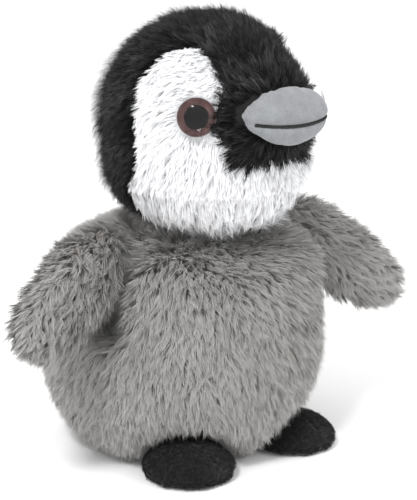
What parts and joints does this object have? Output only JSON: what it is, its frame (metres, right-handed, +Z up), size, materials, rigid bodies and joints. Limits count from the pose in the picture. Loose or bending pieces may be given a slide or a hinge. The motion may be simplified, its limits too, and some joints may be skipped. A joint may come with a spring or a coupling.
{
  "type": "plush penguin chick",
  "caption": "Soft toy penguin chick sitting on a flat base, with a turning head, flippers that lift and padded feet.",
  "frame": {"origin": "middle of the flat base, on the floor plane", "axes": "+Z up, the penguin faces -Y, its own left is +X"},
  "size_m": [0.1883, 0.1295, 0.1815],
  "materials": {
    "grey_plush": "long soft pile, combed downward",
    "grey_base_cloth": "short pile",
    "black_plush": "dense soft pile",
    "pale_grey_plush": "soft pile",
    "white_plush": "soft pile",
    "grey_suede": "brushed suede cloth",
    "black_thread": "twisted embroidery thread",
    "clear_plastic": "clear gloss",
    "dark_plastic": "painted gloss",
    "white_plastic": "moulded",
    "black_velour": "short velour pile",
    "fibre_filling": "loose polyester fibre"
  },
  "bodies": {
    "torso": {"torso_belly_panel": "grey_plush", "torso_back_panel_left": "grey_plush", "torso_back_panel_right": "grey_plush", "torso_base_panel": "grey_base_cloth", "torso_filling": "fibre_filling"},
    "neck": {"neck_filling": "fibre_filling"},
    "head": {"head_hood_left": "black_plush", "head_hood_right": "black_plush", "head_crown_gusset": "black_plush", "head_back_panel": "pale_grey_plush", "head_cheek_left": "white_plush", "head_cheek_right": "white_plush", "head_collar": "white_plush", "head_filling": "fibre_filling", "beak_upper": "grey_suede", "beak_lower": "grey_suede", "beak_filling": "fibre_filling", "beak_mouth_line": "black_thread", "eye_dome_left": "clear_plastic", "eye_dome_right": "clear_plastic", "eye_stem_left": "dark_plastic", "eye_stem_right": "dark_plastic", "eye_washer_left": "white_plastic", "eye_washer_right": "white_plastic"},
    "flipper_left": {"flipper_front_left": "grey_plush", "flipper_back_left": "grey_plush", "flipper_filling_left": "fibre_filling"},
    "flipper_right": {"flipper_front_right": "grey_plush", "flipper_back_right": "grey_plush", "flipper_filling_right": "fibre_filling"},
    "foot_left": {"foot_upper_left": "black_velour", "foot_sole_left": "black_velour", "foot_filling_left": "fibre_filling"},
    "foot_right": {"foot_upper_right": "black_velour", "foot_sole_right": "black_velour", "foot_filling_right": "fibre_filling"}
  },
  "joints": [
    {"name": "neck_turn", "type": "hinge", "parent": "torso", "child": "neck", "pos_m": [0, -0.006, 0.092], "axis": [0, 0, 1], "range_deg": [-35, 35], "stiffness_Nm_per_rad": 0.02},
    {"name": "neck_nod", "type": "hinge", "parent": "neck", "child": "head", "pos_m": [0, -0.006, 0.092], "axis": [1, 0, 0], "range_deg": [-8, 8], "stiffness_Nm_per_rad": 0.4},
    {"name": "flipper_left_raise", "type": "hinge", "parent": "torso", "child": "flipper_left", "pos_m": [0.047, -0.012, 0.092], "axis": [-0.4022, -0.829, 0.3884], "range_deg": [0, 50], "stiffness_Nm_per_rad": 0.02},
    {"name": "flipper_right_raise", "type": "hinge", "parent": "torso", "child": "flipper_right", "pos_m": [-0.047, -0.012, 0.092], "axis": [-0.2095, 0.9703, -0.121], "range_deg": [0, 50], "stiffness_Nm_per_rad": 0.02},
    {"name": "foot_left_lift", "type": "hinge", "parent": "torso", "child": "foot_left", "pos_m": [0.028, -0.018, 0.0005], "axis": [-1, 0, 0], "range_deg": [0, 15], "stiffness_Nm_per_rad": 0.02},
    {"name": "foot_right_lift", "type": "hinge", "parent": "torso", "child": "foot_right", "pos_m": [-0.028, -0.018, 0.0005], "axis": [-1, 0, 0], "range_deg": [0, 15], "stiffness_Nm_per_rad": 0.02}
  ]
}
